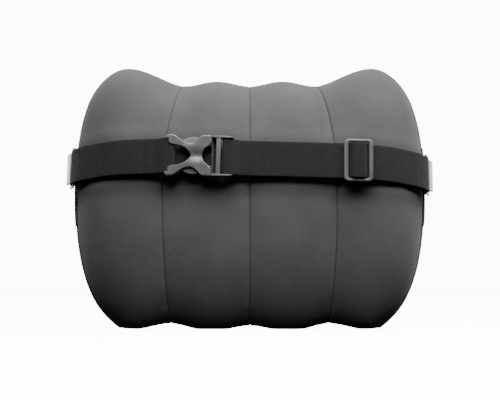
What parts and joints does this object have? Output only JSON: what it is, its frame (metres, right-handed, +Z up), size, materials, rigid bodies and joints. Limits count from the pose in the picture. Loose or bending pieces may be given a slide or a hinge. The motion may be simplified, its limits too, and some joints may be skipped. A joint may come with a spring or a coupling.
{
  "type": "lumbar support cushion",
  "caption": "Four-lobed foam back cushion in a knit cover, with an elastic strap across its back, a side-release buckle, a tri-glide slider and side hooks.",
  "frame": {"origin": "on the plane the cushion stands on, under the middle of its bounding box", "axes": "+Z up, +X to the right seen from the strap side, -Y out of the strap side, +Y out of the side that leans on the sitter's back"},
  "size_m": [0.4075, 0.134, 0.2889],
  "materials": {
    "knit_cover": "matte",
    "memory_foam": "matte",
    "webbing": "matte",
    "patch_fabric": "matte",
    "zip_tape": "matte",
    "zip_metal": "satin",
    "buckle_plastic": "satin",
    "strap_metal": "satin"
  },
  "bodies": {
    "cushion": {"foam_core": "memory_foam", "back_panel_left_wing": "knit_cover", "back_panel_left_middle": "knit_cover", "back_panel_right_middle": "knit_cover", "back_panel_right_wing": "knit_cover", "front_panel_left_wing": "knit_cover", "front_panel_left_middle": "knit_cover", "front_panel_right_middle": "knit_cover", "front_panel_right_wing": "knit_cover", "zip_tape_back": "zip_tape", "zip_tape_front": "zip_tape", "zip_stop_left": "zip_metal", "zip_stop_right": "zip_metal", "side_patch_left": "patch_fabric", "side_patch_right": "patch_fabric", "ring_keeper_left": "webbing", "ring_keeper_right": "webbing", "strap_left": "webbing", "strap_right": "webbing", "buckle_socket": "buckle_plastic"},
    "plug": {"buckle_plug": "buckle_plastic"},
    "prong_upper": {"buckle_prong_upper": "buckle_plastic"},
    "prong_lower": {"buckle_prong_lower": "buckle_plastic"},
    "glide": {"tri_glide": "strap_metal"},
    "side_hook_left": {"ring_left": "strap_metal", "hook_left": "strap_metal"},
    "side_hook_right": {"ring_right": "strap_metal", "hook_right": "strap_metal"},
    "slider": {"zip_slider": "zip_metal"},
    "pull": {"zip_pull": "zip_metal"}
  },
  "joints": [
    {"name": "buckle_release", "type": "slide", "parent": "cushion", "child": "plug", "axis": [0.9997, -0.0034, -0.026], "range_m": [0, 0.04], "deforming": ["strap_right", "buckle_prong_upper", "buckle_prong_lower"]},
    {"name": "prong_upper_squeeze", "type": "hinge", "parent": "plug", "child": "prong_upper", "pos_m": [-0.04029, -0.0575, 0.1927], "axis": [0, -0.9914, 0.1305], "range_deg": [0, 6], "stiffness_Nm_per_rad": 0.5},
    {"name": "prong_lower_squeeze", "type": "hinge", "parent": "plug", "child": "prong_lower", "pos_m": [-0.04092, -0.06064, 0.16892], "axis": [0, 0.9914, -0.1305], "range_deg": [0, 6], "stiffness_Nm_per_rad": 0.5},
    {"name": "glide_slide", "type": "slide", "parent": "cushion", "child": "glide", "axis": [0.9997, -0.0034, -0.026], "range_m": [-0.04, 0], "deforming": ["strap_right"]},
    {"name": "side_hook_left_swing", "type": "hinge", "parent": "cushion", "child": "side_hook_left", "pos_m": [-0.1996, 0.01548, 0.17228], "axis": [-0.0017, -0.1305, -0.9914], "range_deg": [0, 35], "deforming": ["strap_left"]},
    {"name": "side_hook_right_swing", "type": "hinge", "parent": "cushion", "child": "side_hook_right", "pos_m": [0.19911, 0.01457, 0.16478], "axis": [0.0262, 0.1305, 0.9911], "range_deg": [0, 35], "deforming": ["strap_right"]},
    {"name": "zip_slide", "type": "slide", "parent": "cushion", "child": "slider", "axis": [1, 0, 0], "range_m": [0, 0.2]},
    {"name": "zip_pull_flip", "type": "hinge", "parent": "slider", "child": "pull", "pos_m": [-0.1002, 0.00105, 0.0083], "axis": [0, 1, 0], "range_deg": [0, 175]}
  ]
}
